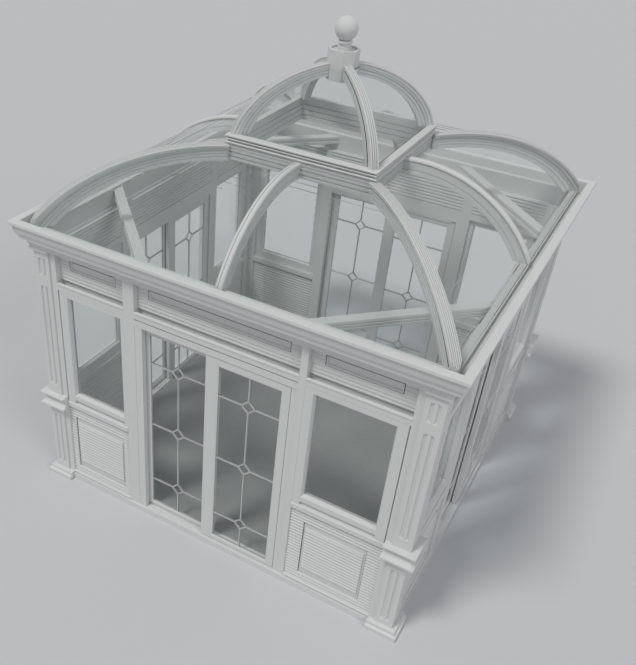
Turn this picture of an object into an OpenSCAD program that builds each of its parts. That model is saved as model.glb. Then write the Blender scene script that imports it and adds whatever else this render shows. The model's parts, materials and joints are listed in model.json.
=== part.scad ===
// Square glazed conservatory with sliding doors in every wall, curved hipped roof,
// glazed lantern and ball finial. Millimetres, +Z up, origin on the ground at the centre.

/* [Walls] */
// Half the width over the flat wall faces
wall_half = 1850; // [1700:10:2100]
// Thickness of the walls, posts and door tracks
wall_t = 116; // [112:1:140]
// Height of the walls up to the underside of the cornice
wall_h = 2610; // [2560:10:2900]
// Height of the ground sill
sill_h = 62; // [50:1:75]
// How far the ground sill stands out from the wall face
sill_proud = 20; // [4:1:30]
// Width of a corner post along each wall
corner_w = 205; // [195:5:240]
// Width of the post beside the outer leaf
post_w = 60; // [50:1:90]
// Width of the post beside the inner leaf
pocket_post_w = 110; // [80:1:120]
// From the middle of the wall to the post beside the outer leaf
door_right = 735; // [700:1:770]
// From the middle of the wall to the post beside the inner leaf
door_left = 815; // [790:1:830]
// Thickness of the floor slab
floor_t = 60; // [40:1:61]

/* [Windows] */
// Top of the window sill rail
win_sill_z = 1000; // [950:1:1080]
// Height of the window sill rail
win_sill_h = 59; // [40:1:70]
// Top of the window frames
win_top = 2239; // [2200:1:2270]
// Width of the window frame beside the post of the outer leaf
win_stile_door = 70; // [30:1:90]
// Width of the window frame beside the post of the inner leaf
win_stile_pocket = 38; // [30:1:60]
// Width of the window frame beside the corner
win_stile_corner = 92; // [60:1:110]
// Height of the bottom bar of a window frame
win_rail_low = 93; // [60:1:110]
// Height of the top bar of a window frame
win_rail_top = 52; // [40:1:80]
// Depth of the window frames
win_frame_t = 84; // [70:1:96]
// Set-back of the window frames from the wall face
win_set = 3; // [0:0.5:8]
// Thickness of the glass units in windows and doors
pane_t = 20; // [12:1:24]
// Set-back of the window glass from the wall face
pane_set = 44; // [30:1:50]

/* [Dado panels] */
// Set-back of the dado panels from the wall face
dado_set = 12; // [6:1:20]
// Thickness of the dado panels
dado_t = 84; // [60:1:90]
// Height of the base rail under a dado panel
base_rail_h = 42; // [30:1:50]
// Width of the sunk field of a dado panel
field_w = 592; // [500:1:640]
// Bottom of the sunk field above the base rail
field_rise = 70; // [50:1:100]
// Height of the sunk field
field_h = 645; // [500:5:680]
// Depth of the sunk field
field_sink = 12; // [6:1:20]

/* [Frieze] */
// Top of the transom ledge over windows and doors
transom_top = 2306; // [2290:1:2340]
// Set-back of the frieze panels from the wall face
frieze_set = 55; // [40:1:70]
// Margin beside the long sunk slot of a frieze panel
slot_margin = 113; // [90:1:180]
// Bottom of the frieze slot above the ledge
slot_rise = 130; // [90:1:140]
// Height of the frieze slot
slot_h = 97; // [60:1:120]
// Depth of the frieze slot
slot_sink = 12; // [6:1:20]

/* [Doors] */
// How far the two leaves lap over each other
leaf_lap = 96; // [80:1:110]
// Thickness of a door leaf
leaf_t = 40; // [34:1:42]
// Top of the door leaves
leaf_top = 2161; // [2100:1:2200]
// Set-back of the outer leaf from the wall face
outer_leaf_set = 8; // [2:0.5:10]
// Space between the two leaves
leaf_gap = 16; // [15:0.5:20]
// Width of the meeting stile
meeting_stile_w = 110; // [80:1:130]
// Width of the closing stile
closing_stile_w = 67; // [50:1:90]
// Height of a leaf's bottom rail
leaf_rail_low = 34; // [30:1:80]
// Height of a leaf's top rail
leaf_rail_top = 66; // [50:1:90]
// Width of the jamb the outer leaf closes on
jamb_w = 51; // [40:1:80]
// Width of the shallow jamb in front of the inner leaf's edge
cover_w = 73; // [60:1:80]
// How far the inner leaf's edge goes behind that jamb
pocket_lap = 42; // [30:1:50]
// Height of the track beads on the sill
bead_h = 8; // [5:0.5:9]
// Width of a track bead
bead_w = 6; // [4:0.5:10]
// Space between the sill and the underside of a leaf
leaf_lift = 14; // [14:0.5:20]
// Length of a sliding shoe under a leaf
shoe_len = 70; // [40:1:120]

/* [Corner columns] */
// Width of a column over its two outer faces
column_w = 160; // [140:1:180]
// How far the column stands out from the wall face
column_proud = 16; // [14:1:30]
// How far the plinth stands out from the wall face
plinth_proud = 78; // [60:1:90]
// Height of the plinth's lower step
plinth_low_h = 50; // [40:1:60]
// Height of the whole plinth
plinth_h = 80; // [75:1:120]
// How far the plinth's upper step stands back
plinth_step = 23; // [10:1:30]
// Bottom of the moulded capital at sill height
capital_z = 904; // [850:1:950]
// Height of the moulded capital
capital_h = 143; // [120:1:180]
// How far the capital's lips stand out from the column
capital_flare = 62; // [40:1:70]
// How far the capital reaches past the sides of the column
capital_side = 58; // [40:1:60]
// Bottom of the bracket block under the cornice
block_z = 2288; // [2200:1:2350]
// How far the strip on top of the bracket block stands out
block_flare = 26; // [15:1:40]
// Height of that strip
block_cap_h = 25; // [15:1:50]
// Width of the flute panel in a column face
flute_w = 84; // [60:1:100]
// Depth of the flute panels
flute_sink = 8; // [4:1:12]

/* [Cornice] */
// Height of the cornice and gutter
cornice_h = 250; // [210:5:300]
// How far the cornice stands out from the wall face
cornice_reach = 150; // [130:5:170]
// Width of the gutter's outer lip
lip_w = 75; // [50:1:80]
// Depth of the gutter trough
trough_deep = 110; // [80:5:130]
// Distance from the cornice's edge back to the kerb
kerb_set = 130; // [110:1:150]
// Width of the kerb that carries the roof
kerb_w = 70; // [60:1:90]
// Height of the kerb above the gutter floor
kerb_h = 40; // [25:1:60]

/* [Roof] */
// How far the slope bulges above a straight line from kerb to ring
slope_bulge = 214.5; // [180:0.5:240]
// How far the rafters' curve passes beyond the kerb at its foot
slope_foot = 25; // [10:1:30]
// Height of the rafters' curve on the ring, above the ring's underside
slope_rise = 135; // [120:1:150]
// Depth of a rafter from cap to soffit
rafter_deep = 145; // [120:1:170]
// Thickness of the rafter caps above the glass
cap_t = 30; // [20:1:40]
// Thickness of the roof glass
roof_pane_t = 10; // [6:1:16]
// Width of a hip rafter's web
hip_w = 56; // [45:1:70]
// Width of a hip rafter's cap
hip_cap_w = 88; // [76:1:110]
// Width of a middle rafter's web
mid_w = 50; // [40:1:60]
// Width of a middle rafter's cap
mid_cap_w = 66; // [56:1:84]
// Distance from a corner tie's end to the middle of the wall
tie_x = 750; // [700:5:800]
// Width of a corner tie
tie_w = 90; // [60:1:120]
// Height of a corner tie
tie_h = 84; // [60:1:110]

/* [Lantern] */
// Half the width over the lantern ring
ring_half = 692; // [660:1:720]
// Thickness of the lantern ring
ring_t = 70; // [60:1:90]
// Underside of the lantern ring
ring_z = 3300; // [3280:1:3320]
// Height of the lantern ring
ring_h = 220; // [200:5:250]
// How far the lantern's side bulges beyond a straight line from ring to block
dome_bulge = 118.4; // [90:0.2:140]
// Set-back of the lantern ribs from the ring's face
dome_set = 39; // [25:1:50]
// Distance from the top of the block down to the ribs' upper edge
dome_drop = 105; // [90:1:120]
// Depth of a lantern rib
dome_rib_deep = 105; // [80:1:120]
// Width of a lantern rib
dome_rib_w = 66; // [50:1:80]

/* [Finial] */
// Width of the eight-sided block over its flats
block_w = 244; // [220:1:260]
// Underside of the eight-sided block
hub_z = 3945; // [3930:1:3960]
// Top of the eight-sided block
hub_top = 4190; // [4170:1:4200]
// Radius of the ball
ball_r = 96; // [90:1:110]
// Height of the ball's centre
ball_z = 4343; // [4320:1:4400]

/* [Hidden] */
$fn = 96;

// Hairline joint between pieces of one frame, and running clearance on the tracks
seam = 0.3;
// Excess of a cutting solid past the face it cuts
over = 1;
// Room kept round a sliding leaf
slack = 6;
// Gasket space between curved glass and the bars above and below it
gasket = 1.2;
// The same under the straight underside of a hip's cap, where the glass climbs past it
hip_gasket = 5;

frame_white = [0.86, 0.87, 0.87];
glass_tint = [0.62, 0.68, 0.67, 0.35];
floor_grey = [0.62, 0.63, 0.62];

inner_half = wall_half - wall_t;
bay_in = door_right + post_w;
pocket_bay_in = door_left + pocket_post_w;
bay_out = wall_half - corner_w;
// Side of the doorway, inner edge and door-side stile of the two window bays
BAYS = [[0, bay_in, win_stile_door], [1, pocket_bay_in, win_stile_pocket]];
clear_left = door_left - cover_w;
inner_leaf_set = outer_leaf_set + leaf_t + leaf_gap;
jamb_set = 4;
pocket_d = inner_leaf_set - slack + seam;
base_top = sill_h + base_rail_h;
dado_top = win_sill_z - win_sill_h;
cornice_top = wall_h + cornice_h;
bed_rise = 80;
bed_z = wall_h + bed_rise;
column_half = wall_half + column_proud;
column_in = column_half - column_w;
jamb_x = door_right - jamb_w;
inner_leaf_x = -clear_left - pocket_lap;
leaf_w = (jamb_x - slack - inner_leaf_x + leaf_lap) / 2;
outer_leaf_x = jamb_x - slack - leaf_w;
leaf_z = sill_h + leaf_lift;
pane_low = leaf_z + leaf_rail_low;
pane_top = leaf_top - leaf_rail_top;
head_z = leaf_top + 8;
cornice_out = wall_half + cornice_reach;
kerb_out = cornice_out - kerb_set;
kerb_in = kerb_out - kerb_w;
gutter_z = cornice_top - trough_deep;
kerb_top = gutter_z + kerb_h;
ring_top = ring_z + ring_h;
ring_in = ring_half - ring_t;
ring_seat_set = 20;
ring_seat = ring_half - ring_seat_set;

// Radius and centre of an arc from its two ends and its bulge over the chord
function arc_r(chord, bulge) = (chord * chord / 4 + bulge * bulge) / (2 * bulge);
function arc_centre(head, foot, bulge) =
    let (chord = foot - head, long = norm(chord), drop = arc_r(long, bulge) - bulge)
    (head + foot) / 2 + [chord[1], -chord[0]] * drop / long;

slope_head = [ring_seat, ring_z + slope_rise];
slope_end = [kerb_out + slope_foot, kerb_top];
slope_r = arc_r(norm(slope_end - slope_head), slope_bulge);
slope_centre = arc_centre(slope_head, slope_end, slope_bulge);
slope_cx = slope_centre[0];
slope_cz = slope_centre[1];
glass_r = slope_r - cap_t;
soffit_r = slope_r - rafter_deep;
dome_head = [block_w / 2 / sqrt(2), hub_top - dome_drop];
dome_foot = [ring_half - dome_set, ring_top];
dome_r = arc_r(norm(dome_foot - dome_head), dome_bulge);
dome_centre = arc_centre(dome_head, dome_foot, dome_bulge);
dome_cx = -dome_centre[0];
dome_cz = dome_centre[1];
neck_w = 16;
tie_top = kerb_top - 20;
hip_steps = 32;
dome_steps = 20;
dome_glass_r = dome_r - 24;
ball_flat = 8;
seat_z = ball_z - ball_r + ball_flat;

// Copies its children to all four walls
module on_walls() {
    for (turn = [0:3])
        rotate([0, 0, 90 * turn])
            children();
}

// Box in the front wall, from x0 to x1, at depths d0 to d1 behind the wall face
module wall_box(x0, x1, d0, d1, z0, z1) {
    translate([x0, -(wall_half - d0), z0])
        cube([x1 - x0, d1 - d0, z1 - z0]);
}

// Outline in depth and height, extruded along the front wall
module wall_profile(x0, x1, outline) {
    translate([x0, -wall_half, 0])
        rotate([90, 0, 90])
            linear_extrude(height = x1 - x0)
                polygon(outline);
}

// One side of a wall as drawn, or mirrored where side is 1
module on_side(side) {
    mirror([side, 0, 0])
        children();
}

// Moulding outline in reach and height, run round a square and mitred at its corners
module mitred_block(outline) {
    intersection() {
        square_sweep(outline);
        rotate([0, 0, 90])
            square_sweep(outline);
    }
}

// Moulding outline mirrored about the middle and extruded across the house
module square_sweep(outline) {
    reach = max([for (p = outline) p[0]]);
    rotate([90, 0, 0])
        linear_extrude(height = 2 * reach, center = true)
            polygon(concat(
                [for (p = outline) [p[0], p[1]]],
                [for (i = [len(outline) - 1:-1:0]) [-outline[i][0], outline[i][1]]]
            ));
}

// Wedge of the front side, bounded by the two diagonals less half a seam
module front_wedge(reach, z0, z1) {
    translate([0, -seam, z0])
        linear_extrude(height = z1 - z0)
            polygon([[0, 0], [-reach, -reach], [reach, -reach]]);
}

// Straight bar with the given section, mitred at both ends
module mitred_bar(outline) {
    reach = max([for (p = outline) p[0]]);
    low = min([for (p = outline) p[1]]);
    high = max([for (p = outline) p[1]]);
    intersection() {
        rotate([90, 0, -90])
            linear_extrude(height = 2 * reach, center = true)
                polygon([for (p = outline) [p[0], p[1]]]);
        front_wedge(reach + over, low - over, high + over);
    }
}

module floor_slab() {
    color(floor_grey)
        difference() {
            translate([-inner_half, -inner_half, 0])
                cube([2 * inner_half, 2 * inner_half, floor_t]);
            on_walls()
                translate([bay_out, -inner_half - over, -over])
                    cube([wall_t + corner_w, corner_w - wall_t + over, floor_t + 2 * over]);
        }
}

// Sill bars between the plinths, with two beads that the sliding shoes run on
module base_sill() {
    color(frame_white)
        on_walls() {
            wall_box(-bay_out, bay_out, -sill_proud, wall_t, 0, sill_h);
            for (set = [outer_leaf_set, inner_leaf_set]) {
                middle = set + leaf_t / 2;
                wall_box(-clear_left + over, jamb_x - over, middle - bead_w / 2, middle + bead_w / 2,
                    sill_h - over, sill_h + bead_h);
            }
        }
}

// Rails under the dado panels
module base_rails() {
    color(frame_white)
        on_walls()
            for (bay = BAYS)
                on_side(bay[0])
                    wall_box(bay[1], bay_out, -sill_proud / 2, wall_t, sill_h, base_top);
}

// Places its children at the front right corner's column and repeats them
module at_corners() {
    on_walls()
        children();
}

// Square block at a corner with both outer faces moulded by the outline
module corner_moulding(outline, inner) {
    reach = max([for (p = outline) p[0]]) + over;
    low = min([for (p = outline) p[1]]);
    high = max([for (p = outline) p[1]]);
    intersection() {
        mitred_block(outline);
        translate([inner, -reach, low])
            cube([reach - inner, reach - inner, high - low]);
    }
}

module corner_plinths() {
    outer = wall_half + plinth_proud;
    bevel = 8;
    color(frame_white)
        at_corners()
            corner_moulding([
                [outer, 0], [outer, plinth_low_h - bevel], [outer - plinth_step, plinth_low_h],
                [outer - plinth_step, plinth_h]
            ], bay_out);
}

// L-shaped post behind the column, flush with the wall faces
module corner_posts() {
    color(frame_white)
        at_corners()
            difference() {
                translate([bay_out, -wall_half, plinth_h])
                    cube([corner_w, corner_w, wall_h - plinth_h]);
                translate([bay_out - over, -inner_half, plinth_h - over])
                    cube([corner_w - wall_t + over, corner_w - wall_t + over, wall_h - plinth_h + 2 * over]);
            }
}

// Takes the corner post's place out of a column piece
module wrap_corner(z0, z1) {
    difference() {
        children();
        translate([bay_out - over, -wall_half, z0 - over])
            cube([corner_w + over, corner_w + over, z1 - z0 + 2 * over]);
    }
}

// Plain length of column
module column_bar(z0, z1) {
    translate([column_in, -column_half, z0])
        cube([column_w, column_w, z1 - z0]);
}

// Length of column, with a sunk flute from low to high in each outer face
module column_shaft(z0, z1, low, high) {
    wrap_corner(z0, z1)
        difference() {
            column_bar(z0, z1);
            for (turn = [0, 1])
                mirror([turn, turn, 0])
                    translate([column_half - (column_w + flute_w) / 2, -column_half - over, low])
                        cube([flute_w, flute_sink + over, high - low]);
        }
}

module column_shafts() {
    foot = plinth_h;
    top = capital_z + capital_h;
    low_margins = [60, 129];
    top_margins = [98, 53];
    color(frame_white)
        at_corners() {
            column_shaft(foot, capital_z, foot + low_margins[0], capital_z - low_margins[1]);
            column_shaft(top, block_z, top + top_margins[0], block_z - top_margins[1]);
        }
}

// Spool moulding: two lips with a hollow neck between them
module column_capitals() {
    out = column_half + capital_flare;
    top = capital_z + capital_h;
    neck = column_half + 19;
    lip_low = 18;
    lip_top = 10;
    neck_r = (capital_h - lip_low - lip_top) / 2;
    mid_z = capital_z + lip_low + neck_r;
    hollow = [for (a = [-90:22.5:90]) [out - (out - neck) * cos(a), mid_z + neck_r * sin(a)]];
    color(frame_white)
        at_corners()
            wrap_corner(capital_z, top)
                corner_moulding(concat([[out, capital_z]], hollow, [[out, top]]), column_in - capital_side);
}

// Bracket block with a strip on top, under the cornice
module bracket_blocks() {
    out = column_half + block_flare;
    strip_z = wall_h - block_cap_h;
    side = 12;
    edge = 4;
    color(frame_white)
        at_corners()
            wrap_corner(block_z, wall_h) {
                column_bar(block_z, strip_z + edge);
                corner_moulding([[out - edge, strip_z], [out, strip_z + edge], [out, wall_h]],
                    column_in - side);
            }
}

module door_posts() {
    color(frame_white)
        on_walls() {
            wall_box(door_right, bay_in, 0, wall_t, sill_h, wall_h);
            wall_box(-pocket_bay_in, -door_left, 0, wall_t, sill_h, wall_h);
        }
}

// Closing jamb of the outer leaf, and the front and back of the inner leaf's pocket
module door_jambs() {
    color(frame_white)
        on_walls() {
            wall_box(jamb_x, door_right, jamb_set, wall_t, sill_h, head_z);
            wall_box(-door_left, -clear_left, jamb_set, pocket_d - seam, sill_h, head_z);
            wall_box(-door_left, inner_leaf_x - slack, pocket_d, wall_t, sill_h, head_z);
        }
}

// Track box over the leaves with a shadow groove below its ledge
module door_heads() {
    groove_z = leaf_top + 69;
    groove_h = 9;
    groove_d = 14;
    color(frame_white)
        on_walls()
            wall_profile(-door_left, door_right, [
                [0, head_z], [wall_t, head_z], [wall_t, transom_top], [0, transom_top],
                [0, groove_z + groove_h], [groove_d, groove_z + groove_h],
                [groove_d, groove_z], [0, groove_z]
            ]);
}

// Strips that guide the tops of the leaves, between them and behind them
module head_guides() {
    lap = 18;
    color(frame_white)
        on_walls()
            for (set = [outer_leaf_set, inner_leaf_set])
                wall_box(-clear_left, jamb_x, set + leaf_t + slack, set + leaf_t + leaf_gap - slack,
                    leaf_top - lap, head_z);
}

module window_sills() {
    nose = 8;
    color(frame_white)
        on_walls()
            for (bay = BAYS)
                on_side(bay[0])
                    wall_profile(bay[1], bay_out, [
                        [-nose, dado_top + 6], [-nose, win_sill_z - 6], [0, win_sill_z],
                        [wall_t, win_sill_z], [wall_t, dado_top], [0, dado_top]
                    ]);
}

// Frame of two stiles and two rails, with hairline joints
module window_frames() {
    d0 = win_set;
    d1 = win_set + win_frame_t;
    low = win_sill_z;
    color(frame_white)
        on_walls()
            for (bay = BAYS)
                on_side(bay[0]) {
                    x0 = bay[1] + bay[2];
                    x1 = bay_out - win_stile_corner;
                    wall_box(bay[1], x0, d0, d1, low, win_top);
                    wall_box(x1, bay_out, d0, d1, low, win_top);
                    wall_box(x0 + seam, x1 - seam, d0, d1, low, low + win_rail_low);
                    wall_box(x0 + seam, x1 - seam, d0, d1, win_top - win_rail_top, win_top);
                }
}

module window_glass() {
    color(glass_tint)
        on_walls()
            for (bay = BAYS)
                on_side(bay[0])
                    wall_box(bay[1] + bay[2] + seam, bay_out - win_stile_corner - seam,
                        pane_set, pane_set + pane_t, win_sill_z + win_rail_low, win_top - win_rail_top);
}

module window_heads() {
    color(frame_white)
        on_walls()
            for (bay = BAYS)
                on_side(bay[0])
                    wall_box(bay[1], bay_out, 0, wall_t, win_top, transom_top);
}

// Dado panel with a sunk field in its middle
module dado_panel(x0, x1) {
    middle = (x0 + x1) / 2;
    z0 = base_top + field_rise;
    difference() {
        wall_box(x0, x1, dado_set, dado_set + dado_t, base_top, dado_top);
        wall_box(middle - field_w / 2, middle + field_w / 2, dado_set - over, dado_set + field_sink,
            z0, z0 + field_h);
    }
}

module dado_panels() {
    color(frame_white)
        on_walls()
            for (bay = BAYS)
                on_side(bay[0])
                    dado_panel(bay[1], bay_out);
}

// Panel between the ledge and the cornice with one long sunk slot
module frieze_panel(x0, x1) {
    difference() {
        wall_box(x0, x1, frieze_set, wall_t, transom_top, wall_h);
        wall_box(x0 + slot_margin, x1 - slot_margin, frieze_set - over, frieze_set + slot_sink,
            transom_top + slot_rise, transom_top + slot_rise + slot_h);
    }
}

module frieze_panels() {
    color(frame_white)
        on_walls() {
            frieze_panel(-door_left, door_right);
            for (bay = BAYS)
                on_side(bay[0])
                    frieze_panel(bay[1], bay_out);
        }
}

// Crown moulding with the gutter's outer lip
module cornice() {
    out = cornice_out;
    top = cornice_top;
    bed = out - lip_w;
    crown_w = 30;
    crown_h = 90;
    edge_h = 34;
    step = 8;
    crown_x = out - crown_w - 3 * step;
    crown_z = top - crown_h - edge_h - step;
    cyma = [for (a = [0:22.5:90]) [crown_x + crown_w * sin(a), crown_z + crown_h * (1 - cos(a))]];
    color(frame_white)
        on_walls()
            mitred_bar(concat(
                [[bed, bed_z], [bed + 2 * step, bed_z]],
                cyma,
                [[out - 2 * step, top - edge_h - step], [out, top - edge_h], [out, top], [bed, top]]
            ));
}

// Bed mould and gutter floor behind the crown moulding
module gutter_bed() {
    bed = cornice_out - lip_w;
    fillet_h = 32;
    fillet_x = bed - 37;
    cove_w = 29;
    cove_x = fillet_x + 8;
    cove_z = wall_h + fillet_h;
    cove_h = bed_z - cove_z;
    cove = [for (a = [0:22.5:90]) [cove_x + (cove_w - seam) * (1 - cos(a)), cove_z + cove_h * sin(a)]];
    color(frame_white)
        on_walls()
            mitred_bar(concat(
                [[kerb_in, wall_h], [fillet_x, wall_h], [fillet_x, cove_z]],
                cove,
                [[bed - seam, gutter_z], [kerb_in, gutter_z]]
            ));
}

module roof_kerb() {
    color(frame_white)
        on_walls()
            mitred_bar([[kerb_in, gutter_z], [kerb_out, gutter_z], [kerb_out, kerb_top], [kerb_in, kerb_top]]);
}

// Half of the slope's section between two radii, from the kerb to the lantern ring
module slope_band(r0, r1) {
    intersection() {
        difference() {
            translate([slope_cx, slope_cz])
                circle(r = r1);
            translate([slope_cx, slope_cz])
                circle(r = r0);
        }
        translate([ring_seat, kerb_top])
            square([kerb_out - ring_seat, ring_top - kerb_top]);
    }
}

// Curved bar on the front slope, from x0 to x1
module slope_bar(x0, x1, r0, r1) {
    translate([x1, 0, 0])
        rotate([90, 0, -90])
            linear_extrude(height = x1 - x0)
                slope_band(r0, r1);
}

// Web, neck between the panes, and cap
module middle_rafters() {
    color(frame_white)
        on_walls() {
            slope_bar(-mid_w / 2, mid_w / 2, soffit_r, glass_r - roof_pane_t - gasket);
            slope_bar(-neck_w / 2, neck_w / 2, glass_r - roof_pane_t - gasket, glass_r + gasket);
            slope_bar(-mid_cap_w / 2, mid_cap_w / 2, glass_r + gasket, slope_r);
        }
}

// Points of the hip curve: the slope's arc seen along the diagonal
function hip_arc(r) = [
    for (i = [0:hip_steps])
        let (a_low = asin((kerb_top - slope_cz) / r),
            a_high = 90 + asin((slope_cx - ring_seat + hip_cap_w) / r),
            a = a_low + (a_high - a_low) * i / hip_steps)
        [sqrt(2) * (slope_cx + r * cos(a)), slope_cz + r * sin(a)]
];

module hip_band(width, r0, r1) {
    inner = hip_arc(r0);
    outer = hip_arc(r1);
    rotate([0, 0, -45])
        translate([0, width / 2, 0])
            rotate([90, 0, 0])
                linear_extrude(height = width)
                    polygon(concat(outer, [for (i = [hip_steps:-1:0]) inner[i]]));
}

// Hips, cut to the kerb at the foot and notched over the ring's corner
module hip_rafters() {
    color(frame_white)
        at_corners()
            difference() {
                intersection() {
                    union() {
                        hip_band(hip_w, soffit_r, glass_r + hip_gasket + over);
                        hip_band(hip_cap_w, glass_r + hip_gasket, slope_r);
                    }
                    translate([0, -kerb_out, kerb_top])
                        cube([kerb_out, kerb_out, ring_top - kerb_top]);
                }
                translate([-ring_seat, -ring_seat, kerb_top - over])
                    cube([2 * ring_seat, 2 * ring_seat, ring_top - kerb_top]);
            }
}

// Level tie across the corner, between the kerbs of two walls
module corner_ties() {
    reach = tie_x + kerb_in;
    color(frame_white)
        at_corners()
            intersection() {
                rotate([0, 0, -45])
                    translate([reach / sqrt(2) - tie_w / 2, -kerb_in, tie_top - tie_h])
                        cube([tie_w, 2 * kerb_in, tie_h]);
                translate([0, -kerb_in, wall_h])
                    cube([kerb_in, kerb_in, cornice_h]);
            }
}

// Two panes to a slope, from the middle rafter's neck to the hip
module roof_glass() {
    side = neck_w / 2 + seam;
    off = (hip_w / 2 + seam) * sqrt(2);
    color(glass_tint)
        on_walls()
            for (side_turn = [0, 1])
                on_side(side_turn)
                    intersection() {
                        slope_bar(side, kerb_out, glass_r - roof_pane_t, glass_r);
                        translate([0, 0, kerb_top - over])
                            linear_extrude(height = ring_top - kerb_top)
                                polygon([[side, -ring_seat], [ring_seat - off, -ring_seat],
                                    [kerb_out - off, -kerb_out], [side, -kerb_out]]);
                    }
}

module lantern_ring() {
    out = ring_half;
    seat_z = ring_z + 142;
    color(frame_white)
        on_walls()
            mitred_bar([
                [ring_in, ring_z], [ring_seat, ring_z], [ring_seat, seat_z], [out - 8, seat_z + 14],
                [out - 8, ring_top - 34], [out, ring_top - 26], [out, ring_top], [ring_in, ring_top]
            ]);
}

// Points of a lantern rib's curve along the diagonal
function dome_arc(r) = [
    for (i = [0:dome_steps])
        let (a_low = asin((ring_top - dome_cz) / r),
            a_high = acos((dome_cx + block_w / 2 / sqrt(2)) / r),
            a = a_low + (a_high - a_low) * i / dome_steps)
        [sqrt(2) * (r * cos(a) - dome_cx), dome_cz + r * sin(a)]
];

module dome_band(width, r0, r1) {
    inner = dome_arc(r0);
    outer = dome_arc(r1);
    rotate([0, 0, -45])
        translate([0, width / 2, 0])
            rotate([90, 0, 0])
                linear_extrude(height = width)
                    polygon(concat(outer, [for (i = [dome_steps:-1:0]) inner[i]]));
}

module lantern_ribs() {
    color(frame_white)
        at_corners()
            dome_band(dome_rib_w, dome_r - dome_rib_deep, dome_r);
}

// One curved pane to a side, from the ring up to the block
module lantern_glass() {
    off = (dome_rib_w / 2 + seam) * sqrt(2);
    near = block_w / 2 + seam;
    color(glass_tint)
        on_walls()
            intersection() {
                translate([ring_half, 0, 0])
                    rotate([90, 0, -90])
                        linear_extrude(height = 2 * ring_half)
                            intersection() {
                                translate([-dome_cx, dome_cz])
                                    difference() {
                                        circle(r = dome_glass_r);
                                        circle(r = dome_glass_r - roof_pane_t);
                                    }
                                translate([near, ring_top])
                                    square([ring_half, ring_half]);
                            }
                translate([0, 0, ring_top - over])
                    linear_extrude(height = ring_half + 2 * over)
                        polygon([[-(near - off), -near], [near - off, -near],
                            [ring_half - off, -ring_half], [-(ring_half - off), -ring_half]]);
            }
}

// Eight-sided block that the lantern ribs meet, with a sunk top and a turned collar
module finial_hub() {
    collar_r = 50;
    foot_r = 58;
    rim = 16;
    sink = 14;
    color(frame_white) {
        difference() {
            translate([0, 0, hub_z])
                rotate([0, 0, 22.5])
                    cylinder(h = hub_top - hub_z, r = block_w / 2 / cos(22.5), $fn = 8);
            translate([0, 0, hub_top - sink])
                cylinder(h = sink + over, r = block_w / 2 - rim);
        }
        translate([0, 0, hub_top - sink])
            cylinder(h = 2 * sink, r = foot_r);
        translate([0, 0, hub_top + sink])
            cylinder(h = seat_z - hub_top - sink, r = collar_r);
    }
}

module finial_ball() {
    color(frame_white)
        translate([0, 0, ball_z])
            intersection() {
                sphere(r = ball_r);
                translate([-ball_r - over, -ball_r - over, -ball_r + ball_flat])
                    cube([2 * (ball_r + over), 2 * (ball_r + over), 2 * ball_r]);
            }
}

// Stiles, rails and shoes of a sliding leaf whose left edge is at x0
module leaf(x0, set, left_stile, right_stile) {
    x1 = x0 + leaf_w;
    d0 = set;
    d1 = set + leaf_t;
    middle = set + leaf_t / 2;
    color(frame_white) {
        wall_box(x0, x0 + left_stile, d0, d1, leaf_z, leaf_top);
        wall_box(x1 - right_stile, x1, d0, d1, leaf_z, leaf_top);
        wall_box(x0 + left_stile + seam, x1 - right_stile - seam, d0, d1, leaf_z, pane_low);
        wall_box(x0 + left_stile + seam, x1 - right_stile - seam, d0, d1, pane_top, leaf_top);
        for (x = [x0 + left_stile + shoe_len, x1 - right_stile - 2 * shoe_len])
            wall_box(x, x + shoe_len, middle - bead_w, middle + bead_w, sill_h + bead_h + seam, leaf_z);
    }
}

module leaf_pane(x0, set, left_stile, right_stile) {
    color(glass_tint)
        wall_box(x0 + left_stile + seam, x0 + leaf_w - right_stile - seam,
            set + (leaf_t - pane_t) / 2, set + (leaf_t + pane_t) / 2, pane_low, pane_top);
}

// The outer leaf closes against the jamb, and the inner one into the pocket
module outer_leaf() { leaf(outer_leaf_x, outer_leaf_set, meeting_stile_w, closing_stile_w); }
module outer_pane() { leaf_pane(outer_leaf_x, outer_leaf_set, meeting_stile_w, closing_stile_w); }
module inner_leaf() { leaf(inner_leaf_x, inner_leaf_set, closing_stile_w, meeting_stile_w); }
module inner_pane() { leaf_pane(inner_leaf_x, inner_leaf_set, closing_stile_w, meeting_stile_w); }

floor_slab();
base_sill();
base_rails();
corner_plinths();
corner_posts();
column_shafts();
column_capitals();
bracket_blocks();
door_posts();
door_jambs();
door_heads();
head_guides();
window_sills();
window_frames();
window_glass();
window_heads();
dado_panels();
frieze_panels();
cornice();
gutter_bed();
roof_kerb();
hip_rafters();
middle_rafters();
corner_ties();
roof_glass();
lantern_ring();
lantern_ribs();
lantern_glass();
finial_hub();
finial_ball();
outer_leaf();  // front_outer_leaf
outer_pane();  // front_outer_pane
inner_leaf();  // front_inner_leaf
inner_pane();  // front_inner_pane
rotate([0, 0, 90]) outer_leaf();  // right_outer_leaf
rotate([0, 0, 90]) outer_pane();  // right_outer_pane
rotate([0, 0, 90]) inner_leaf();  // right_inner_leaf
rotate([0, 0, 90]) inner_pane();  // right_inner_pane
rotate([0, 0, 180]) outer_leaf();  // back_outer_leaf
rotate([0, 0, 180]) outer_pane();  // back_outer_pane
rotate([0, 0, 180]) inner_leaf();  // back_inner_leaf
rotate([0, 0, 180]) inner_pane();  // back_inner_pane
rotate([0, 0, 270]) outer_leaf();  // left_outer_leaf
rotate([0, 0, 270]) outer_pane();  // left_outer_pane
rotate([0, 0, 270]) inner_leaf();  // left_inner_leaf
rotate([0, 0, 270]) inner_pane();  // left_inner_pane
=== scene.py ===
"""Finishes, door leading, glazing beads and the studio for the square glazed conservatory."""

import json
import math

import bmesh
import bpy
from mathutils import Matrix, Vector

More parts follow.
